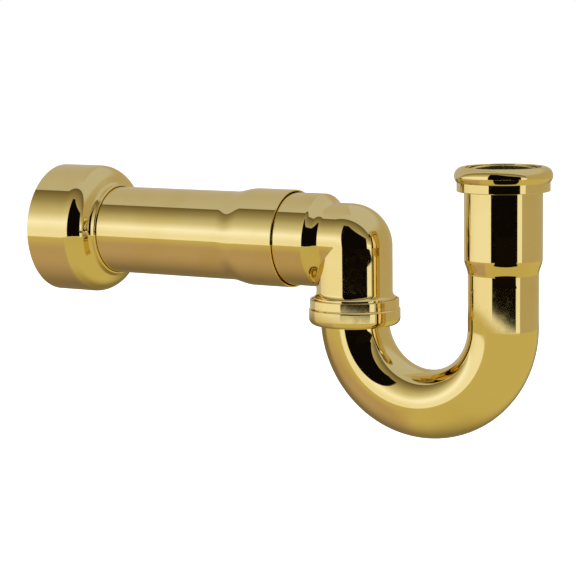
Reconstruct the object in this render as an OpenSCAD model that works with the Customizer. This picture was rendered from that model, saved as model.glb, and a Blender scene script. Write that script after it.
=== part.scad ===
// Polished brass p trap: wall flange, covered trap arm, cast elbow, union and swivel bend.
// Origin: axis of the trap arm at the wall plane. +X leaves the wall, +Z is up.

/* [Layout] */
// Distance from the wall to the outlet axis of the bend
outlet_x = 200; // [190:1:230]
// Centre-line radius of the bend
bend_r = 45.5; // [44:0.5:52]
// Height of the bend's centre below the arm axis
bend_drop = 42; // [42:0.5:44]
// Height of the inlet nut's lower edge above the arm axis
inlet_nut_z = 31.5; // [28:0.5:60]

/* [Tubes] */
// Outside radius of the drain tube (1-1/2 in nominal)
tube_r = 19.05; // [19:0.01:19.1]
// Wall of the drain tube
tube_wall = 1.14; // [0.8:0.01:1.3]
// Length of the arm that stands out behind the flange
spigot_len = 10; // [6:1:40]
// Outside radius of the inlet socket
socket_r = 21; // [20.9:0.05:21.2]
// Inside radius of the inlet socket
socket_bore_r = 19.86; // [19.8:0.01:19.9]
// Outside radius of the cast elbow
elbow_r = 21.35; // [21.2:0.05:21.4]
// Centre-line radius of the elbow's tight corner
elbow_turn = 2.3; // [1:0.1:4]

/* [Cover] */
// Outside radius of the cover tube (2 in)
cover_r = 25.4; // [25.3:0.05:25.5]
// Outside radius of the cover tube's front socket
cover_socket_r = 27.7; // [27.6:0.05:28]
// Where the cover tube ends inside the flange
cover_back_x = 30; // [29:0.5:31]
// Where the cover tube's front socket ends
cover_front_x = 162; // [160:0.5:163]
// Outside radius of the elbow's skirt, which the cover slides over
skirt_r = 26.2; // [26.1:0.05:26.3]

/* [Flange] */
// Outside radius of the wall flange
flange_r = 37.6; // [36.5:0.1:38.5]
// Wall of the pressed flange
flange_wall = 1.2; // [0.9:0.1:1.4]
// Depth of the flange from the wall to its neck
flange_depth = 41.2; // [41:0.1:41.5]

/* [Nuts] */
// Bore radius of all three nuts, over the thread
nut_bore_r = 23.6; // [23.55:0.05:23.7]
// Crest radius of the male threads
thread_r = 23.35; // [23.2:0.05:23.4]
// Root radius of the male threads
root_r = 22.6; // [22.4:0.05:22.7]
// Thread pitch (11.5 threads to the inch)
pitch = 2.209; // [2:0.001:2.5]
// Width across the flats of the hidden wall nut
wall_nut_flats = 54; // [52:0.5:56]

/* [Hidden] */
$fn = 96;
brass = "#d9b65a";
rubber = "#2b2b2b";
nylon = "#e8e6dc";

bore_r = tube_r - tube_wall;
inlet_x = outlet_x + 2 * bend_r;
cut = 0.5; // how far a cutter runs past the face it cuts

// union, measured down the outlet axis
elbow_end = 38;
union_top = 31.5;
union_bottom = 46;
gasket_h = 1.75;
collar_top = bend_drop - 2.2;
ring_gap = 0.05;
ring_r = 23.2;
tube_rise = 12; // outlet leg above the bend's centre, up inside the elbow

// inlet stack, measured up the inlet axis
inlet_end = inlet_nut_z + 6.7;
washer_h = 2;
nut_h = 13;
inlet_lip = 3.3;
slip_bore_r = 20.4;
lip_bevel = 0.5;

// cover and elbow
cover_wall = 1;
swage_x0 = 123;
swage_x1 = 138;
skirt_x0 = 142;
skirt_bore_r = 24;
shoulder_x = 180.5;
shoulder_r = 3;
shoulder_slope = 42;
neck_x = 189.45;
neck_fillet = 6.5;
elbow_bore_r = 18.3;
arm_end = 178;
oring_r = 0.85;
oring_x = 146;
seal_groove_r = tube_r + 2 * oring_r + 0.05;
snap_groove_r = tube_r + 1.5;
seal_x = 172;
snap_x = 166;
snap_wall = 1.2;
socket_back_x = 163;

// wall side
wall_nut_x = 3;
wall_nut_len = 11;
slip_gap = 0.1;

// a rising or falling S between two radii, as [radius, station] points
function swage(r0, r1, a0, a1, steps = 10) =
    [for (i = [0:steps]) [r0 + (r1 - r0) * (1 - cos(180 * i / steps)) / 2,
                          a0 + (a1 - a0) * i / steps]];

// an arc in the [radius, station] plane; angle 0 points outwards, 90 along the station axis
function arc(cr, ca, r, from, to, steps = 10) =
    [for (i = [0:steps]) [cr + r * cos(from + (to - from) * i / steps),
                          ca + r * sin(from + (to - from) * i / steps)]];

// revolve a [radius, station] outline about the arm axis
module turn_x(outline) rotate([0, 90, 0]) rotate_extrude() polygon(outline);

// revolve a [radius, station] outline about an upright axis at x
module turn_z(x, outline) translate([x, 0, 0]) rotate_extrude() polygon(outline);

module ring_x(outer, inner, x0, x1) turn_x([[inner, x0], [outer, x0], [outer, x1], [inner, x1]]);

module ring_z(x, outer, inner, z0, z1)
    turn_z(x, [[inner, z0], [outer, z0], [outer, z1], [inner, z1]]);

// a quarter of the bend: side -1 carries the outlet, side 1 the inlet
module quarter(r, side)
    translate([outlet_x + bend_r, 0, -bend_drop])
        rotate([-90, 0, 0]) rotate([0, 0, side < 0 ? 90 : 0])
            rotate_extrude(angle = 90) translate([bend_r, 0]) circle(r);

module outlet_quarter() color(brass) difference() {
    union() {
        quarter(tube_r, -1);
        translate([outlet_x, 0, -bend_drop]) cylinder(r = tube_r, h = tube_rise);
    }
    quarter(bore_r, -1);
    translate([outlet_x, 0, -bend_drop]) cylinder(r = bore_r, h = tube_rise + cut);
}

module inlet_quarter() color(brass) difference() {
    quarter(tube_r, 1);
    quarter(bore_r, 1);
}

module inlet_leg() color(brass)
    turn_z(inlet_x, concat([[bore_r, -bend_drop], [tube_r, -bend_drop]],
        swage(tube_r, socket_r, -13, -4.5),
        [[socket_r, inlet_end], [socket_bore_r, inlet_end]],
        swage(socket_bore_r, bore_r, -4.5, -12)));

// a run of thread ridges between two heights, standing on the root radius
function ridges(a0, a1) =
    let (turns = floor((a1 - a0) / pitch), start = a1 - turns * pitch)
    concat([[root_r, a0], [root_r, start]],
        [for (i = [0:turns - 1]) for (p = [[root_r, 0.12], [thread_r, 0.4], [thread_r, 0.6],
            [root_r, 0.88]]) [p[0], start + (i + p[1]) * pitch]],
        [[root_r, a1]]);

module inlet_thread_collar() color(brass)
    turn_z(inlet_x, concat(ridges(inlet_nut_z + 0.4, inlet_end),
        [[socket_r, inlet_end], [socket_r, inlet_nut_z + 0.4]]));

module inlet_slip_nut() color(brass)
    turn_z(inlet_x, concat(
        [[nut_bore_r, inlet_nut_z], [24.9, inlet_nut_z]],
        arc(21.5, inlet_nut_z + nut_h - 4.8, 4.8, -45, 90, 18),
        [[slip_bore_r + lip_bevel, inlet_nut_z + nut_h],
         [slip_bore_r, inlet_nut_z + nut_h - lip_bevel],
         [slip_bore_r, inlet_nut_z + nut_h - inlet_lip],
         [nut_bore_r, inlet_nut_z + nut_h - inlet_lip]]));

module inlet_slip_washer() color(rubber)
    ring_z(inlet_x, ring_r, slip_bore_r, inlet_end, inlet_end + washer_h);

module inlet_friction_ring() color(nylon)
    ring_z(inlet_x, ring_r, slip_bore_r, inlet_end + washer_h + ring_gap,
        inlet_nut_z + nut_h - inlet_lip - ring_gap);

module outlet_collar() color(brass)
    ring_z(outlet_x, 22.3, tube_r, -bend_drop, -collar_top);

module union_gasket() color(rubber)
    ring_z(outlet_x, 22.3, tube_r, -collar_top, -collar_top + gasket_h);

module union_friction_ring() color(nylon)
    ring_z(outlet_x, ring_r, 20.5, -bend_drop - 0.75, -bend_drop - ring_gap);

module union_nut() color(brass)
    turn_z(outlet_x, concat(
        [[nut_bore_r, -union_top], [24.8, -union_top], [25, -union_top - 0.2], [25, -36.2],
         [24.7, -36.5]],
        arc(24.8, -37.5, 0.8, 80, 0, 5),
        arc(22.1, -42.5, 3.5, 0, -90, 10),
        [[21.9, -union_bottom], [21.1, -45], [21.1, -bend_drop - 0.8],
         [nut_bore_r, -bend_drop - 0.8]]));

// the elbow's path as a solid of radius r: a run, a tight quarter turn and a drop
module elbow_path(r, x0, z1) {
    rotate([0, 90, 0]) translate([0, 0, x0]) cylinder(r = r, h = outlet_x - elbow_turn - x0);
    translate([outlet_x, 0, -z1]) cylinder(r = r, h = z1 - elbow_turn);
    translate([outlet_x - elbow_turn, 0, -elbow_turn])
        rotate([90, 0, 0])
            rotate_extrude(angle = 90) intersection() {
                translate([elbow_turn, 0]) circle(r);
                translate([0, -r]) square([r + elbow_turn, 2 * r]);
            }
}

// the elbow proper: arm socket, tight corner and drop with the union's male thread
module trap_elbow() color(brass) difference() {
    union() {
        elbow_path(elbow_r, socket_back_x, elbow_end - 1);
        turn_z(outlet_x, concat([[0, -elbow_end], [root_r - 0.4, -elbow_end]],
            ridges(-elbow_end + 0.4, -union_top - 0.6),
            [[22.95, -union_top - 0.4], [22.95, -union_top + 0.5]],
            arc(elbow_r + 4, -27.4, 4, -128, -180, 6),
            [[0, -27.4]]));
    }
    elbow_path(elbow_bore_r, socket_back_x - cut, elbow_end + cut);
    turn_x([[0, socket_back_x - cut], [tube_r, socket_back_x - cut], [tube_r, snap_x - 0.8],
        [snap_groove_r, snap_x - 0.8], [snap_groove_r, snap_x + 0.8], [tube_r, snap_x + 0.8],
        [tube_r, seal_x - 1.1], [seal_groove_r, seal_x - 1.1], [seal_groove_r, seal_x + 1.1],
        [tube_r, seal_x + 1.1], [tube_r, arm_end], [0, arm_end]]);
    translate([outlet_x, 0, -elbow_end - cut]) cylinder(r = 19.4, h = 8.5 + cut);
}

// the casting's skirt and rounded shoulder round the run, cut away for the drop
module elbow_skirt() color(brass) difference() {
    turn_x(concat([[skirt_bore_r, skirt_x0], [skirt_r - 0.4, skirt_x0],
        [skirt_r, skirt_x0 + 0.4], [skirt_r, oring_x - oring_r],
        [skirt_r - 1.2, oring_x - oring_r], [skirt_r - 1.2, oring_x + oring_r],
        [skirt_r, oring_x + oring_r]],
        arc(skirt_r - shoulder_r, shoulder_x, shoulder_r, 0, shoulder_slope, 5),
        arc(elbow_r + neck_fillet + 0.1, neck_x, neck_fillet, 180 + shoulder_slope, 180, 8),
        [[elbow_r + 0.01, neck_x], [elbow_r + 0.01, socket_back_x],
         [skirt_bore_r, socket_back_x]]));
    translate([outlet_x, 0, -skirt_r - cut]) cylinder(r = elbow_r + 0.01, h = skirt_r + cut);
}

module trap_arm() color(brass)
    turn_x([[bore_r, -spigot_len], [tube_r, -spigot_len], [tube_r, 2], [tube_r - 0.3, 2.1],
        [tube_r - 0.3, 2.8], [tube_r, 2.9], [tube_r, snap_x - 0.8], [tube_r - 0.5, snap_x - 0.8],
        [tube_r - 0.5, snap_x + 0.8], [tube_r, snap_x + 0.8], [tube_r, arm_end],
        [bore_r, arm_end]]);

module arm_seal_ring() color(rubber)
    translate([seal_x, 0, 0]) rotate([0, 90, 0])
        rotate_extrude() translate([tube_r + oring_r, 0]) circle(oring_r - 0.02, $fn = 32);

// open-ended wire ring that locks the arm in the elbow's socket
module arm_snap_ring() color("silver") difference() {
    ring_x(tube_r - 0.5 + snap_wall, tube_r - 0.45, snap_x - 0.6, snap_x + 0.6);
    translate([snap_x - 3, -2, -25]) cube([6, 4, 25]);
}

module cover_grip_ring() color(rubber)
    translate([oring_x, 0, 0]) rotate([0, 90, 0])
        rotate_extrude() translate([skirt_r - 1.2 + oring_r, 0]) circle(oring_r - 0.01, $fn = 32);

module cover_tube() color(brass)
    turn_x(concat(
        [[cover_r - cover_wall, cover_back_x], [cover_r, cover_back_x]],
        swage(cover_r, cover_socket_r, swage_x0, swage_x1),
        [[cover_socket_r, cover_front_x - 0.2], [cover_socket_r - 0.2, cover_front_x],
         [cover_socket_r - 0.8, cover_front_x], [cover_socket_r - 0.95, cover_front_x - 0.2]],
        swage(cover_socket_r - 0.95, cover_r - cover_wall, swage_x1, swage_x0)));

module rear_centring_ring() color(nylon)
    ring_x(cover_r - cover_wall - 0.05, tube_r + slip_gap, cover_back_x + 1, cover_back_x + 6);

// the flange: a drum, a rounded shoulder, a steep flank, a fillet and a short neck
flange_shoulder_x = 25.2;
flange_shoulder_r = 12;
flange_slope = 64;
flange_fillet = 2.2;
neck_r = 26.8;
neck_bore_r = 25.7;
grip_outer_r = 29;
neck_back_x = flange_shoulder_x + 10.25;
fillet_x = flange_shoulder_x + 14.1;
module wall_flange() color(brass)
    turn_x(concat(
        [[flange_r - flange_wall, 0], [flange_r - 0.2, 0], [flange_r, 0.2]],
        arc(flange_r - flange_shoulder_r, flange_shoulder_x, flange_shoulder_r,
            0, flange_slope, 12),
        arc(neck_r + flange_fillet, fillet_x, flange_fillet, 180 + flange_slope, 180, 6),
        arc(neck_r - 0.9, flange_depth - 0.9, 0.9, 0, 90, 4),
        [[neck_bore_r, flange_depth], [neck_bore_r, neck_back_x],
         [grip_outer_r + 0.2, neck_back_x]],
        arc(flange_r - flange_shoulder_r, flange_shoulder_x, flange_shoulder_r - flange_wall,
            60, 0, 10)));

// rubber disc with a thick lip that hugs the cover
module flange_grip_ring() color(rubber)
    ring_x(grip_outer_r, cover_r + slip_gap, neck_back_x - 2.2, neck_back_x - ring_gap);

module wall_slip_nut() color(brass) difference() {
    rotate([0, 90, 0]) translate([0, 0, wall_nut_x])
        cylinder(r = wall_nut_flats / 2 / cos(30), h = wall_nut_len, $fn = 6);
    rotate([0, 90, 0]) translate([0, 0, wall_nut_x - cut]) cylinder(r = nut_bore_r,
        h = wall_nut_len - 1.8 + cut);
    rotate([0, 90, 0]) cylinder(r = tube_r + 0.25, h = wall_nut_x + wall_nut_len + cut);
}

wall_lip_x = wall_nut_x + wall_nut_len - 1.8;
module wall_friction_ring() color(nylon)
    ring_x(ring_r, tube_r + slip_gap, wall_lip_x - 1.1, wall_lip_x - ring_gap);

module wall_slip_washer() color(rubber)
    ring_x(ring_r, tube_r + slip_gap, wall_lip_x - 3.6, wall_lip_x - 1.1);

outlet_quarter();
inlet_quarter();
inlet_leg();
inlet_thread_collar();
inlet_slip_nut();
inlet_friction_ring();
inlet_slip_washer();
outlet_collar();
union_nut();
union_friction_ring();
union_gasket();
trap_elbow();
elbow_skirt();
trap_arm();
arm_seal_ring();
arm_snap_ring();
cover_tube();
rear_centring_ring();
cover_grip_ring();
wall_flange();
flange_grip_ring();
wall_slip_nut();
wall_friction_ring();
wall_slip_washer();
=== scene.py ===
"""Polished brass p trap: the shining pieces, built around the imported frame."""

import math

import bmesh
import bpy
import numpy as np
from bpy.props import FloatProperty, FloatVectorProperty, IntProperty, PointerProperty
from mathutils import Matrix, Vector


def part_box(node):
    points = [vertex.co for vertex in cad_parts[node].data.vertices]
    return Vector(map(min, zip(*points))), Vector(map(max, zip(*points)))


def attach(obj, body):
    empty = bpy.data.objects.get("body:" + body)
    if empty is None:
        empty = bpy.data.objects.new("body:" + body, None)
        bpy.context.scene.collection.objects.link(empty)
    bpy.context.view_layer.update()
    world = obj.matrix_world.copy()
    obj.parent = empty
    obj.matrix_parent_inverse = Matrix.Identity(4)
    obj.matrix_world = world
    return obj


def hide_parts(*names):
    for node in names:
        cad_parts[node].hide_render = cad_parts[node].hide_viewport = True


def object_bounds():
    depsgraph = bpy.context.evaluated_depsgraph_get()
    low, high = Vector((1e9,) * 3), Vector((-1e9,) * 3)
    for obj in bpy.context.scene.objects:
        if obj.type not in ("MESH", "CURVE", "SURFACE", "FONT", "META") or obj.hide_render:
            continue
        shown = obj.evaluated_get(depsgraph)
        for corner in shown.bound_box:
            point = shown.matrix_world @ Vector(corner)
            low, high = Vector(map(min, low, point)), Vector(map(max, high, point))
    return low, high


bl_info = {
    "name": "Brass P Trap",
    "version": (1, 0, 0),
    "blender": (4, 5, 0),
    "location": "3D View > Sidebar > P Trap",
    "description": "Builds the polished pieces of a brass basin trap around its frame",
    "category": "Add Mesh",
}

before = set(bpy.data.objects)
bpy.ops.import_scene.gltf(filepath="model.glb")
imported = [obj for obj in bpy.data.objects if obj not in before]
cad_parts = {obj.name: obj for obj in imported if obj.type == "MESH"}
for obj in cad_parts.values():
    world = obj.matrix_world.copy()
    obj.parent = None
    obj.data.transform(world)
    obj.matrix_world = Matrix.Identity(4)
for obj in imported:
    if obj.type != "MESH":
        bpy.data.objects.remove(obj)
CAD_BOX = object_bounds()
MM = 0.001
TAU = 2 * math.pi


def low(node):
    """The lowest corner of a CAD node's box."""
    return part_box(node)[0]


def high(node):
    """The highest corner of a CAD node's box."""
    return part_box(node)[1]


def outer_radius(node):
    """A turned node's outside radius: half its size across the part."""
    return (high(node).y - low(node).y) / 2


def axis_x(node):
    """Where an upright turned node's axis stands along the arm."""
    return (high(node).x + low(node).x) / 2


OUTLET_X = axis_x("union_nut")
INLET_X = axis_x("inlet_slip_nut")
TUBE_R = outer_radius("trap_arm")
BEND_R = (INLET_X - OUTLET_X) / 2
BEND_Z = low("outlet_quarter").z + BEND_R + TUBE_R

LEG_STEPS, BEND_STEPS, BORE_STEPS = 6, 160, 96  # rings along the bend's leg, skin and bore
THREAD_STEPS = 44  # rings along a thread
INSIDE_CREST = 0.5 * MM  # how far inside a thread's crest points still move
BEAD_START = 4  # degrees between the inlet nut's band and its bead's first ring
REACH_IN, REACH_OUT = -9 * MM, 5.5 * MM  # how far the casting's points look for its skin
HEX_STEPS = 240  # faces around the wall nut, a multiple of six
SETTLE_STEPS = 26  # halvings that bring a point onto the casting's skin


# ---- sizes and finishes ----


def length(millimetres, text):
    """A size that is stored in metres and written here in millimetres."""
    return FloatProperty(description=text, default=millimetres * MM, min=0.0, unit="LENGTH",
                         precision=5)


def turn(degrees, text):
    """An angle that is stored in radians and written here in degrees."""
    return FloatProperty(description=text, default=math.radians(degrees), unit="ROTATION")


def metres(default, text):
    """A size of the studio, or a height that may lie below the arm's axis."""
    return FloatProperty(description=text, default=default, unit="LENGTH")


def colour(rgb, text):
    """A finish's colour, linear."""
    return FloatVectorProperty(description=text, default=rgb, size=3, min=0.0, max=1.0,
                               subtype="COLOR")


class TubeSizes(bpy.types.PropertyGroup):
    wall: length(1.14, "Wall of the drawn drain tube")
    socket_r: length(21.0, "Outside radius of the swaged inlet socket")
    socket_bore: length(19.86, "Inside radius of the inlet socket")
    swage_low: length(13.0, "Where the socket's swage starts, below the arm's axis")
    swage_high: length(4.5, "Where the socket's swage ends, below the arm's axis")
    swage_lag: length(1.0, "How much sooner the swage starts in the bore")
    edge: length(0.3, "Rounding of every cut tube end")
    groove: length(0.3, "Depth of the arm's marking groove at the wall")
    mark_start: length(2.0, "Where the marking groove starts, from the wall")
    mark_end: length(2.9, "Where the marking groove ends, from the wall")
    mark_flank: length(0.15, "Width of the marking groove's flanks")
    snap_half: length(0.8, "Half the width of the snap ring's grooves")
    snap_depth: length(0.5, "Depth of the snap ring's groove in the arm")


class ElbowSizes(bpy.types.PropertyGroup):
    radius: length(21.35, "Outside radius of the cast elbow")
    corner: length(2.3, "Centre-line radius of the elbow's tight corner")
    bore: length(18.3, "Inside radius of the waterway")
    skirt_bore: length(24.0, "Inside radius of the skirt under the cover")
    shoulder_r: length(3.0, "Radius that rounds the skirt's shoulder")
    shoulder_back: length(8.95, "From the neck back to the shoulder's rounding")
    slope: turn(42.0, "Steepest slope between the shoulder and the neck")
    neck_fillet: length(6.5, "Hollow radius between the shoulder and the elbow")
    tight: length(5.6, "Least radius of the rings round the corner")
    bore_tight: length(1.5, "Least radius of the bore's rings there")
    corner_blend: length(3.0, "How softly the rings' radius grows outwards")
    crease: length(1.6, "Casting fillet where the drop meets the skirt")
    crease_top: length(10.0, "Where that fillet starts, below the arm's axis")
    crease_run: length(12.0, "Height over which it grows to full size")
    flare_r: length(4.0, "Hollow radius of the flare over the union thread")
    flare_top: length(27.4, "Where the flare starts, below the arm's axis")
    relief_top: length(31.1, "Where the flare meets the thread's relief")
    relief_end: length(31.8, "Where the relief ends")
    thread_top: length(32.0, "Where the union thread starts")
    overlap: length(1.0, "How far the skirt's first and last rings reach in")
    grip_depth: length(1.2, "Depth of the grip ring's groove")
    ring_play: length(0.05, "Play on each side of the grip ring")
    seal_half: length(1.1, "Half the width of the O-ring's groove")
    seal_depth: length(1.75, "Depth of the O-ring's groove")
    snap_depth: length(1.5, "Depth of the snap ring's groove in the elbow")
    seat_bore: length(19.4, "Bore that takes the bend's outlet leg")
    seat_depth: length(8.5, "Depth of that bore")


class SleeveSizes(bpy.types.PropertyGroup):
    radius: length(25.4, "Outside radius of the cover tube")
    wall: length(1.0, "Wall of the cover tube")
    thin: length(0.95, "Wall of the cover's swaged socket")
    swage_start: length(39.0, "From the cover's front back to its swage")
    swage_end: length(24.0, "From the cover's front back to the swage's end")
    rim: length(0.28, "Rounding of the cover's front rim")


class FlangeSizes(bpy.types.PropertyGroup):
    wall: length(1.2, "Wall of the pressed flange")
    shoulder_x: length(25.2, "Centre of the big rounding, from the wall")
    shoulder_r: length(12.0, "Radius of the flange's big rounding")
    slope: turn(64.0, "Steepness of the flank where the rounding ends")
    fillet: length(2.2, "Hollow radius at the root of the neck")
    fillet_x: length(39.3, "Centre of that fillet, from the wall")
    neck_r: length(26.8, "Outside radius of the neck")
    neck_bore: length(25.7, "Inside radius of the neck")
    lip: length(0.9, "Rounding of the neck's front lip")
    seat_x: length(35.45, "Where the grip ring's seat lies, from the wall")
    seat_r: length(29.2, "Radius of the grip ring's seat")


class NutSizes(bpy.types.PropertyGroup):
    bore: length(23.6, "Inside radius over the thread")
    pitch: length(2.209, "11.5 threads to the inch")
    thread_r: length(23.35, "Crest radius of the male threads")
    thread_depth: length(0.75, "Depth of the thread's groove")
    chamfer: length(0.4, "Chamfer at the ends of the male threads")
    end_chamfer: length(0.6, "Chamfer at the union thread's free end")
    lead: length(0.3, "From a thread's end to its full crest")
    band: length(24.9, "Outside radius of the inlet nut's band")
    lip: length(3.3, "Thickness of the inlet nut's inward lip")
    inlet_bore: length(20.4, "Opening of the inlet nut")
    inlet_bead: length(4.8, "Radius of the inlet nut's bead")
    union_band: length(25.0, "Outside radius of the union nut's band")
    union_step: length(4.9, "From the union nut's top down to its fine step")
    union_flank: length(0.9, "From that step down to the bead's full width")
    union_lip: length(3.2, "Thickness of the union nut's inward lip")
    union_bore: length(21.1, "Opening of the union nut")
    union_corner: length(3.5, "Rounding of the union nut's lower edge")
    flats: length(54.0, "Width across the wall nut's flats")
    wall_lip: length(1.8, "Thickness of the wall nut's inward lip")
    wall_play: length(0.25, "Play between the wall nut and the arm")
    corner_cut: length(1.3, "How far the wall nut's corners are turned down")


class Finishes(bpy.types.PropertyGroup):
    polished: colour((0.88, 0.70, 0.29), "The buffed and lacquered brass")
    deep: colour((0.83, 0.62, 0.21), "Where the lacquer lies thicker")
    raw: colour((0.72, 0.52, 0.22), "Turned brass with no polish")
    rubber: colour((0.018, 0.018, 0.019), "Washers and seal rings")
    nylon: colour((0.78, 0.76, 0.69), "Friction rings")
    steel: colour((0.56, 0.57, 0.58), "The arm's snap ring")
    gloss: FloatProperty(description="Roughness of the polished brass", default=0.035,
                         min=0.0, max=1.0)


class StudioSettings(bpy.types.PropertyGroup):
    azimuth: turn(31.04, "Camera's turn about the upright, from -Y towards +X")
    height: turn(7.77, "Camera's angle above the level")
    roll: turn(-0.73, "Camera's turn about its line of sight")
    distance: metres(1.1674, "From the camera to its aim")
    aim: FloatVectorProperty(description="The aim, from the middle of the object",
                             default=(0.00305, 0.0, 0.0025), size=3, subtype="TRANSLATION")
    lens: FloatProperty(description="Focal length in millimetres on 36 mm", default=128.35)
    floor_drop: metres(0.22, "Floor below the lowest piece")
    # The light tent and the dark sheet below only show in the brass; their slit, table and
    # colours are painted reflections.
    tent_r: metres(1.5, "Radius of the light tent")
    slit: turn(37.0, "Half width of the dark slit round the camera")
    slit_top: turn(55.0, "Height of the slit's top on its left")
    slit_foot: turn(-8.55, "Height of the slit's foot")
    reflection_sheet_near: length(45.0, "Where the dark cloth starts before the inlet")
    reflection_sheet_far: length(330.0, "Where the dark cloth ends before the inlet")
    reflection_sheet_z: metres(-0.022, "Height of the dark cloth")
    table: turn(-9.1, "Height at which the table ends and the wall begins")
    beige: colour((0.50, 0.44, 0.32), "The tent's right side")
    ceiling: colour((0.58, 0.60, 0.68), "The tent's ceiling and back")
    painted_table_near: colour((0.60, 0.53, 0.26), "The table's warm tone")
    painted_table_far: colour((0.50, 0.385, 0.29), "The table towards the wall side")


class TrapSettings(bpy.types.PropertyGroup):
    tube: PointerProperty(type=TubeSizes, name="Tube")
    elbow: PointerProperty(type=ElbowSizes, name="Elbow")
    sleeve: PointerProperty(type=SleeveSizes, name="Cover")
    flange: PointerProperty(type=FlangeSizes, name="Flange")
    nuts: PointerProperty(type=NutSizes, name="Nuts")
    finish: PointerProperty(type=Finishes, name="Finishes")
    studio: PointerProperty(type=StudioSettings, name="Studio")
    around: IntProperty(description="Faces around a turned piece", default=224, min=24)


# ---- node maths ----


def sums(operation, swapped=False):
    """An operator of Value, which adds the Math node that it needs."""
    def method(self, other):
        first, second = (other, self) if swapped else (self, other)
        return self.nodes.function(operation, first, second)
    return method


class Value:
    """A node's output, which takes part in plain sums."""

    def __init__(self, nodes, socket):
        self.nodes, self.socket = nodes, socket

    def other(self, name):
        """Another output of the same node."""
        return Value(self.nodes, self.socket.node.outputs[name])

    __add__, __radd__ = sums("ADD"), sums("ADD", True)
    __sub__, __rsub__ = sums("SUBTRACT"), sums("SUBTRACT", True)
    __mul__, __truediv__ = sums("MULTIPLY"), sums("DIVIDE")


class Nodes:
    """Adds nodes to one tree."""

    def __init__(self, tree):
        self.tree = tree

    def add(self, kind, settings=None, sockets=None, out=0):
        """One node: its settings first, then the values or links of its sockets."""
        node = self.tree.nodes.new(kind)
        for key, value in (settings or {}).items():
            if key == "stops":
                while len(node.color_ramp.elements) < len(value):
                    node.color_ramp.elements.new(0.5)
                for stop, (place, rgb) in zip(node.color_ramp.elements, value):
                    stop.position, stop.color = place, (*rgb, 1)
            else:
                setattr(node, key, value)
        for key, value in (sockets or {}).items():
            if isinstance(value, Value):
                self.tree.links.new(value.socket, node.inputs[key])
            else:
                node.inputs[key].default_value = value
        return Value(self, node.outputs[out]) if len(node.outputs) else None

    def function(self, operation, *values):
        """A Math node by its operation's name."""
        return self.add("ShaderNodeMath", {"operation": operation}, dict(enumerate(values)))

    def split(self, vector):
        """The three parts of a vector."""
        x = self.add("ShaderNodeSeparateXYZ", None, {0: vector})
        return x, x.other("Y"), x.other("Z")

    def bump(self, height, strength, distance):
        """A relief for a shader's Normal."""
        return self.add("ShaderNodeBump", None,
                        {"Height": height, "Strength": strength, "Distance": distance})

    def ease(self, value, start, end):
        """0 before start, 1 after end, smooth between."""
        return self.add("ShaderNodeMapRange", {"interpolation_type": "SMOOTHSTEP"},
                        {"Value": value, "From Min": start, "From Max": end})

    def noise(self, place, scale, detail=2.0, roughness=0.5):
        """Soft noise around 0.5."""
        return self.add("ShaderNodeTexNoise", {"normalize": True},
                        {"Vector": place, "Scale": scale, "Detail": detail,
                         "Roughness": roughness})

    def mix(self, share, first, second):
        """A blend of two colours."""
        return self.add("ShaderNodeMix", {"data_type": "RGBA"},
                        {0: share, 6: first, 7: second}, out=2)


# ---- finishes ----


def new_finish(name, **fixed):
    """An empty finish: its node adder, its Object coordinates and its shader node."""
    finish = bpy.data.materials.new(f"{name}_finish")
    finish.use_nodes = True
    nodes = Nodes(finish.node_tree)
    shader = finish.node_tree.nodes["Principled BSDF"]
    for key, value in fixed.items():
        shader.inputs[key.replace("_", " ")].default_value = value
    place = nodes.add("ShaderNodeTexCoord").other("Object")
    return finish, nodes, place, shader


def plug(nodes, shader, **links):
    """Joins varying values to a shader's sockets."""
    for key, value in links.items():
        nodes.tree.links.new(value.socket, shader.inputs[key.replace("_", " ")])


def rgba(rgb):
    return (*rgb, 1.0)


def polished_brass(finishes):
    """Buffed brass under clear lacquer: nearly a mirror, with faint warm drifts."""
    finish, nodes, place, shader = new_finish("polished_brass", Metallic=1.0)
    drift = nodes.noise(place, 34.0, 3.0)
    haze = nodes.noise(place, 210.0, 4.0, 0.6)
    lines = nodes.noise(place, 2600.0, 2.0)
    warm = nodes.ease(drift, 0.42, 0.72) * 0.55
    ripple = nodes.noise(place, 62.0, 1.0) * 0.55 + haze * 0.03 + lines * 0.0012
    plug(nodes, shader,
         Base_Color=nodes.mix(warm, rgba(finishes.polished), rgba(finishes.deep)),
         Roughness=finishes.gloss + nodes.ease(haze, 0.45, 0.75) * 0.03 + lines * 0.012,
         Normal=nodes.bump(ripple, 0.02, 0.0004))
    return finish


def raw_brass(finishes):
    """Turned brass as it leaves the lathe: fine rings and a dull drift of tarnish."""
    finish, nodes, place, shader = new_finish("raw_brass", Metallic=1.0)
    tarnish = nodes.ease(nodes.noise(place, 120.0, 5.0, 0.62), 0.38, 0.70)
    grain = nodes.noise(place, 3200.0, 3.0)
    dark = tuple(0.62 * c for c in finishes.raw)
    plug(nodes, shader,
         Base_Color=nodes.mix(tarnish * 0.7, rgba(finishes.raw), rgba(dark)),
         Roughness=0.24 + tarnish * 0.16 + grain * 0.06,
         Normal=nodes.bump(grain, 0.25, 0.0001))
    return finish


def dull_finish(name, rgb, tone, scale, rough, spread, relief, **fixed):
    """A moulded finish: a speckled tone, uneven roughness and a fine relief."""
    finish, nodes, place, shader = new_finish(name, **fixed)
    cloud = nodes.noise(place, scale, 4.0, 0.6)
    grain = nodes.noise(place, scale * 9.0, 2.0)
    other = tuple(min(1.0, tone * c) for c in rgb)
    plug(nodes, shader, Base_Color=nodes.mix(cloud, rgba(rgb), rgba(other)),
         Roughness=rough + cloud * spread, Normal=nodes.bump(grain, relief, 0.0002))
    return finish


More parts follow.
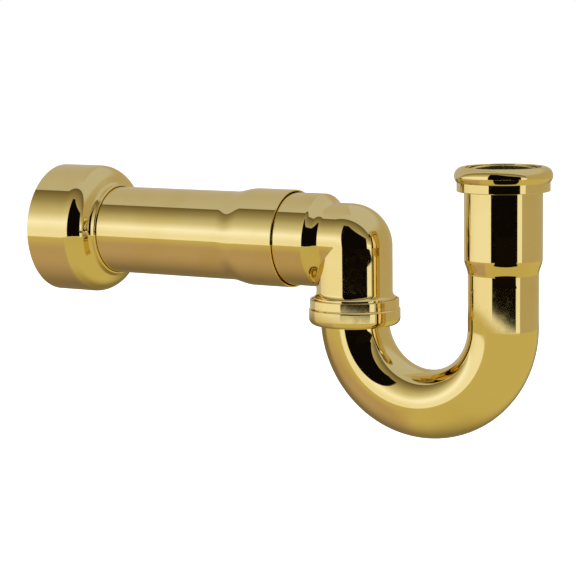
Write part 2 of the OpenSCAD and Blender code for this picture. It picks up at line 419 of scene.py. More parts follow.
MAKERS = {
    "polished_brass": polished_brass,
    "raw_brass": raw_brass,
    "rubber": lambda f: dull_finish("rubber", f.rubber, 1.9, 260.0, 0.42, 0.25, 0.35),
    "nylon": lambda f: dull_finish("nylon", f.nylon, 0.88, 190.0, 0.32, 0.16, 0.15,
                                   Subsurface_Weight=0.08, Subsurface_Scale=0.001),
    "spring_steel": lambda f: dull_finish("spring_steel", f.steel, 0.7, 340.0, 0.22, 0.14,
                                          0.10, Metallic=1.0),
}


def finish_of(slot):
    """The finish of a material slot, made once."""
    return bpy.data.materials.get(f"{slot}_finish") or MAKERS[slot](settings().finish)


# ---- outlines and meshes ----


def settings():
    """The add-on's sizes and finishes."""
    return bpy.context.scene.brass_p_trap


def arc(centre_r, centre_s, radius, start, end, steps=18):
    """Points of an arc as (radius, station); 0 points outwards, 90 along the stations."""
    turns = np.radians(np.linspace(start, end, steps + 1))
    return [(centre_r + radius * math.cos(a), centre_s + radius * math.sin(a)) for a in turns]


def swage(r0, r1, s0, s1, steps=28):
    """An S between two radii, as a swaging tool leaves it."""
    return [(r0 + (r1 - r0) * (1 - math.cos(math.pi * i / steps)) / 2,
             s0 + (s1 - s0) * i / steps) for i in range(steps + 1)]


def eased(corners, steps=5):
    """A closed outline whose corners (radius, station, rounding) are rounded."""
    points = []
    for i, corner in enumerate(corners):
        here = Vector(corner[:2])
        rounding = corner[2] if len(corner) > 2 else 0
        if not rounding:
            points.append(tuple(here))
            continue
        back = (Vector(corners[i - 1][:2]) - here).normalized()
        ahead = (Vector(corners[(i + 1) % len(corners)][:2]) - here).normalized()
        half = back.angle(ahead) / 2
        centre = here + (back + ahead).normalized() * rounding / math.sin(half)
        first = here + back * rounding / math.tan(half) - centre
        last = here + ahead * rounding / math.tan(half) - centre
        swing = first.angle(last)
        for k in range(steps + 1):
            share = k / steps
            spoke = first * math.sin(swing * (1 - share)) + last * math.sin(swing * share)
            points.append(tuple(centre + spoke / math.sin(swing)))
    return points


def held(outline, near=0.12 * MM):
    """Adds a point close to both ends of each long edge, which keeps reflections straight."""
    points = []
    for a, b in zip(outline, outline[1:] + outline[:1]):
        a, b = Vector(a), Vector(b)
        points.append(tuple(a))
        span = (b - a).length
        if span > 5 * near:
            points += [tuple(a.lerp(b, near / span)), tuple(b.lerp(a, near / span))]
    return points


def ring_x(radius, x, angles):
    """A ring about the arm's axis."""
    return np.stack([np.full_like(angles, x), radius * np.sin(angles),
                     radius * np.cos(angles)], 1)


def ring_z(radius, z, angles, at):
    """A ring about an upright axis."""
    return np.stack([at + radius * np.cos(angles), radius * np.sin(angles),
                     np.full_like(angles, z)], 1)


def around(steps=None):
    """The angles of a turned piece's faces."""
    steps = steps or settings().around
    return np.linspace(0, TAU, steps, endpoint=False)


def placed(name, data):
    """A new object in the scene."""
    piece = bpy.data.objects.new(name, data)
    bpy.context.scene.collection.objects.link(piece)
    return piece


def skin(name, rings, crease=34.0):
    """A closed mesh through closed rings, the last ring joined to the first."""
    rings = np.array(rings, float)
    rows, steps = rings.shape[:2]
    first = np.arange(rows * steps).reshape(rows, steps)
    above, beside = np.roll(first, -1, 0), np.roll(first, -1, 1)
    both = np.roll(above, -1, 1)
    quads = np.stack([first, beside, both, above], -1).reshape(-1, 4)
    mesh = bpy.data.meshes.new(name)
    mesh.from_pydata(rings.reshape(-1, 3).tolist(), [], quads.tolist())
    shape = bmesh.new()
    shape.from_mesh(mesh)
    bmesh.ops.remove_doubles(shape, verts=shape.verts, dist=1e-7)
    bmesh.ops.recalc_face_normals(shape, faces=shape.faces)
    for face in shape.faces:
        face.smooth = True
    shape.to_mesh(mesh)
    shape.free()
    mesh.set_sharp_from_angle(angle=math.radians(crease))
    return placed(name, mesh)


def turned_x(name, outline):
    """A piece turned about the arm's axis."""
    angles = around()
    return skin(name, [ring_x(r, x, angles) for r, x in held(eased(outline))])


def turned_z(name, outline, at):
    """A piece turned about an upright axis."""
    angles = around()
    return skin(name, [ring_z(r, z, angles, at) for r, z in held(eased(outline))])


def thread_rows(radius, start, end):
    """Close rows along a thread, which the thread's groove is cut into."""
    return [(radius, start + (end - start) * i / THREAD_STEPS)
            for i in range(THREAD_STEPS + 1)]


def finished(piece, slot, body, *nodes):
    """Gives a piece its finish, its body and the CAD nodes that it stands for."""
    piece.data.materials.clear()
    piece.data.materials.append(finish_of(slot))
    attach(piece, body)
    if nodes:
        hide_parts(*nodes)
    return piece


# ---- geometry nodes ----


def shaping_tree(name, sizes):
    """An empty tree: its node adder, its incoming mesh and its named sizes."""
    tree = bpy.data.node_groups.new(name, "GeometryNodeTree")
    tree.interface.new_socket("Geometry", in_out="INPUT", socket_type="NodeSocketGeometry")
    for label in sizes:
        tree.interface.new_socket(label, in_out="INPUT", socket_type="NodeSocketFloat")
    tree.interface.new_socket("Finish", in_out="INPUT", socket_type="NodeSocketMaterial")
    tree.interface.new_socket("Geometry", in_out="OUTPUT", socket_type="NodeSocketGeometry")
    nodes = Nodes(tree)
    given = nodes.add("NodeGroupInput")
    return nodes, given, {label: given.other(label) for label in (*sizes, "Finish")}


def close_tree(nodes, given, size, moved):
    """Moves the points, then realizes the result and gives it its finish."""
    shaped = nodes.add("GeometryNodeSetPosition", None, {"Geometry": given, "Position": moved})
    solid = nodes.add("GeometryNodeRealizeInstances", None, {"Geometry": shaped})
    dressed = nodes.add("GeometryNodeSetMaterial", None,
                        {"Geometry": solid, "Material": size["Finish"]})
    nodes.add("NodeGroupOutput", {"is_active_output": True}, {"Geometry": dressed})
    return nodes.tree


def bending_tree():
    """Bends a straight blank, its length along Z, down a leg, round half a turn and up."""
    nodes, given, size = shaping_tree(
        "Bend a tube", ("Leg", "Bend radius", "Outlet X", "Bend Z"))
    x, y, along = nodes.split(nodes.add("GeometryNodeInputPosition"))
    radius = size["Bend radius"]
    past = along - size["Leg"]
    bent = nodes.function("MINIMUM", nodes.function("MAXIMUM", past, 0.0), radius * math.pi)
    angle = bent / radius
    reach = nodes.function("COSINE", angle) * (radius + x)
    drop = nodes.function("SINE", angle) * (radius + x)
    rise = nodes.function("MAXIMUM", 0.0 - past, 0.0) + nodes.function(
        "MAXIMUM", past - radius * math.pi, 0.0)
    moved = nodes.add("ShaderNodeCombineXYZ", None, {
        0: size["Outlet X"] + radius - reach, 1: y, 2: size["Bend Z"] + rise - drop})
    return close_tree(nodes, given, size, moved)


def threading_tree():
    """Cuts a helical groove into the turned stretch between two heights."""
    nodes, given, size = shaping_tree(
        "Cut a thread", ("Axis X", "Bottom", "Top", "Pitch", "Depth", "Inside"))
    x, y, z = nodes.split(nodes.add("GeometryNodeInputPosition"))
    off = x - size["Axis X"]
    radius = nodes.function("SQRT", off * off + y * y)
    turns = nodes.function("ARCTAN2", y, off) / TAU
    wave = nodes.function("FRACT", z / size["Pitch"] - turns + 8.0)
    ridge = nodes.function("ABSOLUTE", wave * 2.0 - 1.0)
    groove = nodes.ease(ridge, 0.15, 0.85)
    fade = 0.35 * MM
    ends = (nodes.ease(z, size["Bottom"], size["Bottom"] + fade)
            * nodes.ease(size["Top"] - z, 0.0, fade))
    outside = nodes.ease(radius, size["Inside"], size["Inside"] + 0.1 * MM)
    keep = 1.0 - groove * ends * outside * size["Depth"] / radius
    moved = nodes.add("ShaderNodeCombineXYZ", None,
                      {0: size["Axis X"] + off * keep, 1: y * keep, 2: z})
    return close_tree(nodes, given, size, moved)


def shaped(piece, make, slot, **sizes):
    """Runs a tree on a piece with these sizes and keeps the result as its plain mesh."""
    name = {bending_tree: "Bend a tube", threading_tree: "Cut a thread"}[make]
    tree = bpy.data.node_groups.get(name) or make()
    step = piece.modifiers.new(name, "NODES")
    step.node_group = tree
    wanted = {key.replace("_", " "): value for key, value in sizes.items()}
    wanted["Finish"] = finish_of(slot)
    for socket in tree.interface.items_tree:
        if socket.in_out == "INPUT" and socket.name in wanted:
            step[socket.identifier] = wanted.pop(socket.name)
    if wanted:
        raise RuntimeError(f"{name} has no input named {sorted(wanted)}")
    graph = bpy.context.evaluated_depsgraph_get()
    mesh = bpy.data.meshes.new_from_object(piece.evaluated_get(graph), depsgraph=graph)
    piece.modifiers.clear()
    piece.data = mesh
    return piece


# ---- the pieces ----


class Step:
    """What all the add-on's operators share: each builds its pieces."""

    def execute(self, context):
        self.build()
        return {"FINISHED"}


class TRAP_OT_bend(Step, bpy.types.Operator):
    """Draws the bend's tube: outlet leg, half turn and swaged inlet socket"""
    bl_idname = "trap.bend"
    bl_label = "Swivel Bend"

    def build(self):
        tube = settings().tube
        leg = high("outlet_quarter").z - BEND_Z
        bent = math.pi * BEND_R
        bottom = leg + bent
        top = bottom + high("inlet_leg").z - BEND_Z

        def station(depth):
            return bottom - depth - BEND_Z

        edge = tube.edge
        outer = [(TUBE_R, leg * i / LEG_STEPS) for i in range(1, LEG_STEPS)]
        outer += [(TUBE_R, leg + bent * i / BEND_STEPS) for i in range(BEND_STEPS + 1)]
        outer += swage(TUBE_R, tube.socket_r, station(tube.swage_low),
                       station(tube.swage_high))
        bore = TUBE_R - tube.wall
        inner = swage(tube.socket_bore, bore, station(tube.swage_high),
                      station(tube.swage_low - tube.swage_lag))
        inner += [(bore, leg + bent * i / BORE_STEPS) for i in range(BORE_STEPS, -1, -1)]
        outline = [(bore, 0.0, edge), (TUBE_R, 0.0, edge), *outer,
                   (tube.socket_r, top, edge), (tube.socket_bore, top, edge), *inner]
        blank = turned_z("swivel_bend", outline, 0.0)
        shaped(blank, bending_tree, "polished_brass", Leg=leg, Bend_radius=BEND_R,
               Outlet_X=OUTLET_X, Bend_Z=BEND_Z)
        finished(blank, "polished_brass", "bend", "outlet_quarter", "inlet_quarter",
                 "inlet_leg")


class TRAP_OT_inlet(Step, bpy.types.Operator):
    """Turns the inlet's thread collar and its slip nut"""
    bl_idname = "trap.inlet"
    bl_label = "Inlet Nut"

    def build(self):
        nuts, tube = settings().nuts, settings().tube
        bottom, top = low("inlet_thread_collar").z, high("inlet_thread_collar").z
        angles = around()
        end_r = nuts.thread_r - nuts.chamfer
        rows = [(tube.socket_r, bottom), (end_r, bottom),
                *thread_rows(nuts.thread_r, bottom + nuts.lead, top - nuts.lead),
                (end_r, top), (tube.socket_r, top)]
        collar = skin("inlet_thread", [ring_z(r, z, angles, INLET_X) for r, z in rows])
        shaped(collar, threading_tree, "polished_brass", Axis_X=INLET_X, Bottom=bottom,
               Top=top, Pitch=nuts.pitch, Depth=nuts.thread_depth,
               Inside=nuts.thread_r - INSIDE_CREST)
        finished(collar, "polished_brass", "bend", "inlet_thread_collar")

        base, crown = low("inlet_slip_nut").z, high("inlet_slip_nut").z
        bead = nuts.inlet_bead
        centre_r = outer_radius("inlet_slip_nut") - bead
        reach = nuts.band - centre_r
        start = -math.degrees(math.acos(reach / bead))
        foot = crown - bead + bead * math.sin(math.radians(start))
        outline = [(nuts.bore, base, 0.25 * MM), (nuts.band, base, 0.35 * MM),
                   (nuts.band, foot),
                   *arc(centre_r, crown - bead, bead, start + BEAD_START, 90, 30),
                   (nuts.inlet_bore, crown, 0.5 * MM),
                   (nuts.inlet_bore, crown - nuts.lip, 0.3 * MM),
                   (nuts.bore, crown - nuts.lip)]
        nut = turned_z("inlet_nut_body", outline, INLET_X)
        finished(nut, "polished_brass", "inlet_nut", "inlet_slip_nut")


class TRAP_OT_union(Step, bpy.types.Operator):
    """Turns the union nut under the elbow: a band, a fine step and a rounded bead"""
    bl_idname = "trap.union"
    bl_label = "Union Nut"

    def build(self):
        nuts = settings().nuts
        top, bottom = high("union_nut").z, low("union_nut").z
        wide = outer_radius("union_nut")
        step = top - nuts.union_step
        outline = [
            (nuts.bore, top, 0.2 * MM), (nuts.union_band, top, 0.4 * MM),
            (nuts.union_band, step + 0.2 * MM), (nuts.union_band - 0.3 * MM, step),
            (wide, step - nuts.union_flank, 0.8 * MM),
            *arc(wide - nuts.union_corner, bottom + nuts.union_corner,
                 nuts.union_corner, 0, -90, 20),
            (nuts.union_bore, bottom, 0.8 * MM),
            (nuts.union_bore, bottom + nuts.union_lip, 0.3 * MM),
            (nuts.bore, bottom + nuts.union_lip)]
        nut = turned_z("union_nut_body", outline, OUTLET_X)
        finished(nut, "polished_brass", "union_nut", "union_nut")


class Casting:
    """The elbow casting's skin: a skirt, a shoulder, a tight corner and a drop."""

    def __init__(self):
        self.size = settings().elbow
        self.back = low("elbow_skirt").x
        self.neck = high("elbow_skirt").x
        self.socket_back = low("trap_elbow").x
        self.end = low("trap_elbow").z
        self.skirt_r = outer_radius("elbow_skirt")
        self.angles = around()

    def skirt_radius(self, x):
        """The skirt's radius along the arm: straight, a convex shoulder, a hollow neck."""
        size = self.size
        shoulder = self.neck - size.shoulder_back
        turned = np.clip((x - shoulder) / size.shoulder_r, 0, math.sin(size.slope))
        convex = self.skirt_r - size.shoulder_r * (1 - np.sqrt(1 - turned ** 2))
        left = np.clip((self.neck - x) / size.neck_fillet, 0, math.sin(size.slope))
        hollow = size.radius + size.neck_fillet * (1 - np.sqrt(1 - left ** 2))
        start = shoulder + size.shoulder_r * math.sin(size.slope)
        end = self.neck - size.neck_fillet * math.sin(size.slope)
        share = np.clip((x - start) / (end - start), 0, 1)
        high_r = self.skirt_r - size.shoulder_r * (1 - math.cos(size.slope))
        low_r = size.radius + size.neck_fillet * (1 - math.cos(size.slope))
        flank = high_r + (low_r - high_r) * share
        radius = np.where(x < start, convex, np.where(x < end, flank, hollow))
        return np.where(x > self.neck, size.radius - (x - self.neck), radius)

    def inside(self, points):
        """Below zero inside the casting, above zero outside."""
        size = self.size
        x, y, z = points[..., 0], points[..., 1], points[..., 2]
        u, corner = x - OUTLET_X, size.corner
        outward = np.hypot(np.maximum(u + corner, 0), np.maximum(z + corner, 0)) - corner
        height = np.where((u > -corner) & (z > -corner), outward, np.maximum(u, z))
        elbow = np.hypot(height, y) - size.radius
        skirt = np.hypot(z, y) - self.skirt_radius(x)
        soft = size.crease * np.clip((-z - size.crease_top) / size.crease_run, 0, 1) + 1e-7
        share = np.clip(0.5 + 0.5 * (skirt - elbow) / soft, 0, 1)
        return skirt + (elbow - skirt) * share - soft * share * (1 - share)

    def settle(self, points, ways):
        """Moves points along their ways onto the casting's skin."""
        near = np.full(points.shape[:-1], REACH_IN)
        far = np.full(points.shape[:-1], REACH_OUT)
        for _ in range(SETTLE_STEPS):
            middle = (near + far) / 2
            within = self.inside(points + ways * middle[..., None]) < 0
            near, far = np.where(within, middle, near), np.where(within, far, middle)
        return points + ways * ((near + far) / 2)[..., None]

    def corner_rings(self, radius, tight, start, stop, run, bend, drop):
        """Rings along the run, round the corner and down, with the way out at each."""
        across, side = radius * np.cos(self.angles), np.sin(self.angles)
        past = self.size.corner + across - tight
        rounding = tight + (past + np.sqrt(past ** 2 + self.size.corner_blend ** 2)) / 2
        turn_x = OUTLET_X + across - rounding
        turn_z = across - rounding
        rings, ways = [], []

        def add(x, z, way_x, way_z):
            rings.append(np.stack([x, radius * side, z], 1))
            ways.append(np.stack([way_x * np.cos(self.angles), side,
                                  way_z * np.cos(self.angles)], 1))

        ones = np.ones_like(across)
        for i in range(run):
            add(start + (turn_x - start) * i / run, across, 0 * ones, ones)
        for i in range(bend):
            a = math.pi / 2 * (1 - i / bend)
            add(turn_x + rounding * math.cos(a), turn_z + rounding * math.sin(a),
                math.cos(a) * ones, math.sin(a) * ones)
        for i in range(drop + 1):
            add(turn_x + rounding, turn_z + (stop - turn_z) * i / drop, ones, 0 * ones)
        return np.array(rings), np.array(ways)

    def rings(self, nuts):
        """All rings, from the skirt's back edge round to its bore."""
        size, angles = self.size, self.angles
        begin = self.socket_back - size.overlap
        skirt = [(size.skirt_bore, self.back + size.overlap),
                 (size.skirt_bore, self.back, 0.2 * MM), (self.skirt_r, self.back, 0.5 * MM)]
        groove = high("cover_grip_ring").x + size.ring_play
        cut = low("cover_grip_ring").x - size.ring_play
        deep = self.skirt_r - size.grip_depth
        skirt += [(self.skirt_r, cut), (deep, cut), (deep, groove), (self.skirt_r, groove),
                  (self.skirt_r, begin - 0.2 * MM)]
        rings = [ring_x(r, x, angles) for r, x in held(eased(skirt))[:-2]]
        points, ways = self.corner_rings(size.radius, size.tight, begin, -size.flare_top,
                                         170, 84, 14)
        rings += list(self.settle(points, ways))
        flare = arc(size.radius + size.flare_r, -size.flare_top, size.flare_r, 180, 232, 16)
        start_r = nuts.thread_r - nuts.chamfer
        flare = flare[1:] + [(start_r, -size.relief_top), (start_r, -size.relief_end)]
        flare += thread_rows(nuts.thread_r, -size.thread_top, self.end + nuts.lead)
        flare += [(nuts.thread_r - nuts.end_chamfer, self.end), (size.seat_bore, self.end),
                  (size.seat_bore, self.end + size.seat_depth)]
        rings += [ring_z(r, z, angles, OUTLET_X) for r, z in flare]
        arm_end = high("trap_arm").x
        inner, _ = self.corner_rings(size.bore, size.bore_tight, arm_end,
                                     self.end + size.seat_depth, 4, 30, 3)
        rings += list(inner[::-1])
        seal, snap = axis_x("arm_seal_ring"), axis_x("arm_snap_ring")
        bore = [(TUBE_R, arm_end)]
        for x, half, out in ((seal, size.seal_half, size.seal_depth),
                             (snap, settings().tube.snap_half, size.snap_depth)):
            bore += [(TUBE_R, x + half), (TUBE_R + out, x + half),
                     (TUBE_R + out, x - half), (TUBE_R, x - half)]
        bore += [(TUBE_R, self.socket_back), (size.skirt_bore, self.socket_back)]
        return rings + [ring_x(r, x, angles) for r, x in bore]


class TRAP_OT_elbow(Step, bpy.types.Operator):
    """Casts the elbow with its skirt, shoulder and union thread in one skin"""
    bl_idname = "trap.elbow"
    bl_label = "Cast Elbow"

    def build(self):
        nuts = settings().nuts
        casting = Casting()
        piece = skin("elbow_casting", casting.rings(nuts))
        shaped(piece, threading_tree, "polished_brass", Axis_X=OUTLET_X,
               Bottom=casting.end + 0.2 * MM, Top=-casting.size.thread_top,
               Pitch=nuts.pitch, Depth=nuts.thread_depth, Inside=nuts.thread_r - nuts.lead)
        finished(piece, "polished_brass", "arm", "trap_elbow", "elbow_skirt")


class TRAP_OT_arm(Step, bpy.types.Operator):
    """Turns the trap arm with its marking groove and snap-ring groove"""
    bl_idname = "trap.arm"
    bl_label = "Trap Arm"

    def build(self):
        tube = settings().tube
        start, end = low("trap_arm").x, high("trap_arm").x
        snap = axis_x("arm_snap_ring")
        bore = TUBE_R - tube.wall
        deep = TUBE_R - tube.groove
        cut, half, edge = TUBE_R - tube.snap_depth, tube.snap_half, tube.edge
        outline = [(bore, start, edge), (TUBE_R, start, edge), (TUBE_R, tube.mark_start),
                   (deep, tube.mark_start + tube.mark_flank),
                   (deep, tube.mark_end - tube.mark_flank), (TUBE_R, tube.mark_end),
                   (TUBE_R, snap - half), (cut, snap - half), (cut, snap + half),
                   (TUBE_R, snap + half), (TUBE_R, end, edge), (bore, end, edge)]
        finished(turned_x("arm_tube", outline), "polished_brass", "arm", "trap_arm")


class TRAP_OT_cover(Step, bpy.types.Operator):
    """Turns the cover tube with its swaged front socket and rounded rim"""
    bl_idname = "trap.cover"
    bl_label = "Cover Tube"

    def build(self):
        size = settings().sleeve
        back, front = low("cover_tube").x, high("cover_tube").x
        wide = outer_radius("cover_tube")
        start, end = front - size.swage_start, front - size.swage_end
        outline = [(size.radius - size.wall, back, 0.2 * MM), (size.radius, back, 0.2 * MM),
                   *swage(size.radius, wide, start, end, 36),
                   (wide, front, size.rim), (wide - size.thin, front, size.rim),
                   *swage(wide - size.thin, size.radius - size.wall, end, start, 20)]
        finished(turned_x("cover_sleeve", outline), "polished_brass", "cover", "cover_tube")


class TRAP_OT_flange(Step, bpy.types.Operator):
    """Presses the wall flange: a drum, a big rounding, a flank and a short neck"""
    bl_idname = "trap.flange"
    bl_label = "Wall Flange"

    def build(self):
        size = settings().flange
        wide, depth = outer_radius("wall_flange"), high("wall_flange").x
        slope = math.degrees(size.slope)
        centre = wide - size.shoulder_r
        outline = [(wide - size.wall, 0.0, 0.25 * MM), (wide, 0.0, 0.3 * MM)]
        outline += arc(centre, size.shoulder_x, size.shoulder_r, 0, slope, 40)
        outline += arc(size.neck_r + size.fillet, size.fillet_x, size.fillet,
                       180 + slope, 180, 16)
        outline += arc(size.neck_r - size.lip, depth - size.lip, size.lip, 0, 90, 12)
        outline += [(size.neck_bore, depth), (size.neck_bore, size.seat_x),
                    (size.seat_r, size.seat_x)]
        outline += arc(centre, size.shoulder_x, size.shoulder_r - size.wall, 60, 0, 24)
        finished(turned_x("flange_shell", outline), "polished_brass", "flange",
                 "wall_flange")


class TRAP_OT_wall_nut(Step, bpy.types.Operator):
    """Mills the hexagonal wall nut that hides inside the flange"""
    bl_idname = "trap.wall_nut"
    bl_label = "Wall Nut"

    def build(self):
        nuts = settings().nuts
        start, end = low("wall_slip_nut").x, high("wall_slip_nut").x
        angles = around(HEX_STEPS)
        sixth = TAU / 6
        flat = nuts.flats / 2 / np.cos((angles % sixth) - sixth / 2)
        corner = nuts.flats / 2 / math.cos(sixth / 2)

        def hexagon(limit, x):
            ring = ring_x(1.0, x, angles)
            ring[:, 1:] *= np.minimum(flat, limit)[:, None]
            return ring

        cut, step = nuts.corner_cut, end - nuts.wall_lip
        inner = TUBE_R + nuts.wall_play
        faces = ((1.0, 0.0), (0.5, 0.3), (0.0, 0.8))
        rings = [ring_x(nuts.bore, start, angles)]
        rings += [hexagon(corner - cut * off, start + cut * back) for off, back in faces]
        rings += [hexagon(corner - cut * off, end - cut * back) for off, back in faces[::-1]]
        rings += [ring_x(r, x, angles) for r, x in
                  ((inner, end), (inner, step), (nuts.bore, step))]
        nut = skin("wall_nut_body", rings, 24.0)
        finished(nut, "raw_brass", "wall_nut", "wall_slip_nut")


class TRAP_OT_rings(Step, bpy.types.Operator):
    """Gives the washers, friction rings and seals their rubber, nylon and metal"""
    bl_idname = "trap.rings"
    bl_label = "Rings and Washers"

    slots = {
        "rubber": ("inlet_slip_washer", "union_gasket", "arm_seal_ring", "cover_grip_ring",
                   "flange_grip_ring", "wall_slip_washer"),
        "nylon": ("inlet_friction_ring", "union_friction_ring", "rear_centring_ring",
                  "wall_friction_ring"),
        "spring_steel": ("arm_snap_ring",),
        "raw_brass": ("outlet_collar",),
    }

    def build(self):
        for slot, names in self.slots.items():
            for name in names:
                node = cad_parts[name]
                for place in node.material_slots:
                    place.material = finish_of(slot)


# ---- the stage ----

DARK_REFLECTION = (0.004, 0.003, 0.002)  # painted dark reflections: the slit round the camera, and the dark sheet
UNDER_SHADE = (0.17, 0.135, 0.08)  # painted shade: the tent's table, darker under and behind the trap
FLOOR_REACH = 30.0  # metres from the trap to the floor's edges
REFLECTION_SHEET_SHARE = 0.78  # the dark sheet's width, as a share of the slit's
FRONT_TOP = 74.0  # degrees up and over that the tent's lit front reaches
# The soft edges of the tent's painted reflections, each from its start to its end. OVER is the
# turn about the arm's axis, OFF the turn away from the camera and UP the height, in degrees;
# ALONG and RISE are the X and Z of the way from the tent's centre.
CEILING_OVER, BACK_OVER = (FRONT_TOP, FRONT_TOP + 1.0), (-100.0, -120.0)
RIGHT_OFF, RIGHT_UP = (49.0, 51.0), (42.0, 24.0)
LEFT_OFF, LEFT_SHARE = (-80.0, -165.0), 0.55
FAR_ALONG, FAR_RISE = (-0.36, -0.53), (-0.16, -0.45)
UNDER_OVER, UNDER_ALONG, UNDER_SHARE = (-50.0, -128.0), (0.45, -0.15), 0.85
TABLE_SOFT, SLIT_SOFT, TOP_SOFT, FOOT_SOFT = 0.35, 0.4, 0.6, 0.3  # half widths, degrees
TOP_TURN, TOP_FALL = 16.0, 0.62  # where the slit's top starts to fall, and how steeply
FRONT = ((0.0, (0.98, 1.0, 1.05)), (0.20, (1.12, 1.2, 1.55)), (0.42, (0.72, 0.72, 0.64)),
         (0.74, (0.36, 0.33, 0.23)), (0.93, (0.20, 0.17, 0.10)), (1.0, (0.12, 0.10, 0.06)))


def plain_finish(name, rgb, glow):
    """A matt stage finish with a glow of its own, as new_finish gives it."""
    return new_finish(name, Specular_IOR_Level=0.0, Roughness=0.9, Base_Color=rgba(rgb),
                      Emission_Color=rgba(rgb), Emission_Strength=glow)


def sheet(name, corners):
    """A flat mesh with four corners."""
    mesh = bpy.data.meshes.new(name)
    mesh.from_pydata(corners, [], [(0, 1, 2, 3)])
    return mesh


def stage_piece(name, mesh, finish):
    """A stage object that is no part of the trap."""
    mesh.materials.append(finish)
    piece = placed(name, mesh)
    return piece


class TRAP_OT_stage(Step, bpy.types.Operator):
    """Sets the pale floor, the light tent and dark sheet of painted reflections, two lights
    and the camera
    """
    bl_idname = "trap.stage"
    bl_label = "Studio"

    def build(self):
        studio = settings().studio
        scene = bpy.context.scene
        lowest, highest = (Vector(corner) for corner in CAD_BOX)
        centre = (lowest + highest) / 2
        scene.view_settings.view_transform = "Standard"
        self.sky(scene)
        self.floor(lowest.z - studio.floor_drop)
        self.tent(studio, centre)
        self.dark_reflection_sheet(studio)
        self.lights(centre)
        self.camera(studio, centre)

    def sky(self, scene):
        """A plain white room."""
        world = bpy.data.worlds.new("white_room")
        world.use_nodes = True
        world.node_tree.nodes["Background"].inputs["Color"].default_value = (1, 1, 1, 1)
        scene.world = world

    def floor(self, z):
        """A pale floor that lies well below the trap."""
        far = FLOOR_REACH
        mesh = sheet("floor", [(-far, -far, z), (far, -far, z), (far, far, z), (-far, far, z)])
        floor = stage_piece("floor", mesh, plain_finish("pale_floor", (0.86,) * 3, 0.45)[0])
        floor.visible_glossy = False

    def tent(self, studio, centre):
        """A glowing tent that only shows in the brass: painted reflections of a slit, walls,
        ceiling and table.
        """
        finish, nodes, place, shader = plain_finish("painted_reflection_glow", (0, 0, 0), 1.0)
        way = nodes.add("ShaderNodeVectorMath", {"operation": "NORMALIZE"}, {
            0: nodes.add("ShaderNodeVectorMath", {"operation": "SUBTRACT"},
                         {0: place, 1: centre})})
        x, y, z = nodes.split(way)
        turned = studio.azimuth
        ahead = x * math.sin(turned) - y * math.cos(turned)
        aside = x * math.cos(turned) + y * math.sin(turned)
        to_degrees = math.degrees(1)
        turn_off = nodes.function("ARCTAN2", aside, ahead) * to_degrees
        height = nodes.function("ARCSINE", z) * to_degrees
        over = nodes.function("ARCTAN2", z, 0.0 - y) * to_degrees

        front = nodes.add("ShaderNodeValToRGB", {"stops": FRONT}, {0: over / FRONT_TOP})
        ceiling = rgba(studio.ceiling)
        back = nodes.mix(nodes.ease(over, *CEILING_OVER), front, ceiling)
        back = nodes.mix(nodes.ease(over, *BACK_OVER), back, ceiling)
        right = nodes.ease(turn_off, *RIGHT_OFF) * nodes.ease(height, *RIGHT_UP)
        walls = nodes.mix(right, back, rgba(studio.beige))
        left = nodes.ease(turn_off, *LEFT_OFF) * LEFT_SHARE
        walls = nodes.mix(left, walls, rgba(studio.beige))
        far = nodes.ease(x, *FAR_ALONG) * nodes.ease(z, *FAR_RISE)
        tone = nodes.mix(far, rgba(studio.painted_table_near), rgba(studio.painted_table_far))
        # Painted shade: the tent's table darkens under and behind the trap.
        under = nodes.ease(over, *UNDER_OVER) * nodes.ease(x, *UNDER_ALONG) * UNDER_SHARE
        tone = nodes.mix(under, tone, rgba(UNDER_SHADE))
        edge = math.degrees(studio.table)
        room = nodes.mix(nodes.ease(height, edge + TABLE_SOFT, edge - TABLE_SOFT), walls, tone)
        # Painted dark reflection: the slit round the camera.
        half = math.degrees(studio.slit)
        top = (math.degrees(studio.slit_top)
               - nodes.function("MAXIMUM", turn_off + TOP_TURN, 0.0) * TOP_FALL)
        foot = math.degrees(studio.slit_foot)
        aside = nodes.function("ABSOLUTE", turn_off)
        dark = (nodes.ease(half - aside, -SLIT_SOFT, SLIT_SOFT)
                * nodes.ease(top - height, -TOP_SOFT, TOP_SOFT)
                * nodes.ease(height - foot, -FOOT_SOFT, FOOT_SOFT))
        plug(nodes, shader, Emission_Color=nodes.mix(dark, room, rgba(DARK_REFLECTION)))
        ball = bmesh.new()
        bmesh.ops.create_icosphere(ball, subdivisions=4, radius=studio.tent_r,
                                   matrix=Matrix.Translation(centre))
        mesh = bpy.data.meshes.new("painted_reflection_tent")
        ball.to_mesh(mesh)
        ball.free()
        self.only_in_gloss(stage_piece("painted_reflection_tent", mesh, finish))

    def only_in_gloss(self, piece):
        """Hides a stage piece from everything but reflections."""
        piece.visible_camera = piece.visible_diffuse = piece.visible_shadow = False
        piece.visible_transmission = False

    def dark_reflection_sheet(self, studio):
        """A dark sheet below and before the inlet, which its nut mirrors from above: a painted
        dark reflection.
        """
        half, near, far = studio.slit * REFLECTION_SHEET_SHARE, studio.reflection_sheet_near, studio.reflection_sheet_far
        corners = ((near, -half), (near, half), (far, half), (far, -half))
        points = [(INLET_X + reach * math.sin(studio.azimuth + side),
                   -reach * math.cos(studio.azimuth + side), studio.reflection_sheet_z)
                  for reach, side in corners]
        self.only_in_gloss(stage_piece("dark_reflection_sheet", sheet("dark_reflection_sheet", points),
                                       plain_finish("dark_reflection_sheet", DARK_REFLECTION, 0.0)[0]))

    def lights(self, centre):
        """Two large soft lights."""
        for name, place, size, power in (
                ("key_light", (-0.9, -1.3, 1.2), 1.4, 26.0),
                ("rim_light", (0.9, 1.5, 1.0), 1.2, 14.0)):
            light = bpy.data.lights.new(name, "AREA")
            light.shape, light.size, light.energy = "SQUARE", size, power
            lamp = placed(name, light)
            lamp.location = centre + Vector(place)
            lamp.visible_glossy = False
            lamp.rotation_euler = (centre - lamp.location).to_track_quat("-Z", "Y").to_euler()

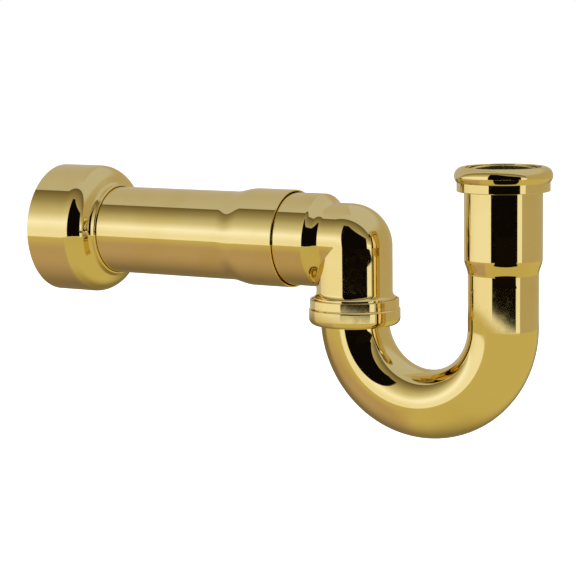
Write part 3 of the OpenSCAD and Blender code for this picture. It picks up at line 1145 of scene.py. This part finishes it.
    def camera(self, studio, centre):
        """The camera, a little above the arm and to its right."""
        turned, up = studio.azimuth, studio.height
        back = Vector((math.sin(turned) * math.cos(up), -math.cos(turned) * math.cos(up),
                       math.sin(up)))
        right = Vector((math.cos(turned), math.sin(turned), 0.0))
        top = back.cross(right)
        roll = studio.roll
        across = right * math.cos(roll) + top * math.sin(roll)
        upward = top * math.cos(roll) - right * math.sin(roll)
        view = bpy.data.cameras.new("camera")
        view.lens, view.sensor_width = studio.lens, 36.0
        camera = placed("camera", view)
        matrix = Matrix((across, upward, back)).transposed().to_4x4()
        matrix.translation = centre + Vector(studio.aim) + back * studio.distance
        camera.matrix_world = matrix
        bpy.context.scene.camera = camera


class TRAP_PT_panel(bpy.types.Panel):
    """The trap's pieces, sizes and finishes"""
    bl_idname = "TRAP_PT_panel"
    bl_label = "Brass P Trap"
    bl_space_type = "VIEW_3D"
    bl_region_type = "UI"
    bl_category = "P Trap"

    def draw(self, context):
        for step in STEPS:
            self.layout.operator(step.bl_idname)
        for label in ("tube", "elbow", "sleeve", "flange", "nuts", "finish", "studio"):
            group = getattr(settings(), label)
            box = self.layout.box()
            for name in group.__annotations__:
                box.prop(group, name, text=name.replace("_", " ").capitalize())
        self.layout.prop(settings(), "around", text="Steps around")


STEPS = (TRAP_OT_stage, TRAP_OT_bend, TRAP_OT_inlet, TRAP_OT_union, TRAP_OT_elbow,
         TRAP_OT_arm, TRAP_OT_cover, TRAP_OT_flange, TRAP_OT_wall_nut, TRAP_OT_rings)
CLASSES = (TubeSizes, ElbowSizes, SleeveSizes, FlangeSizes, NutSizes, Finishes,
           StudioSettings, TrapSettings, *STEPS, TRAP_PT_panel)


def register():
    for part in CLASSES:
        bpy.utils.register_class(part)
    bpy.types.Scene.brass_p_trap = PointerProperty(type=TrapSettings)


def unregister():
    del bpy.types.Scene.brass_p_trap
    for part in reversed(CLASSES):
        bpy.utils.unregister_class(part)


def main():
    register()
    for step in STEPS:
        group, name = step.bl_idname.split(".")
        getattr(getattr(bpy.ops, group), name)()


if __name__ == "__main__":
    main()
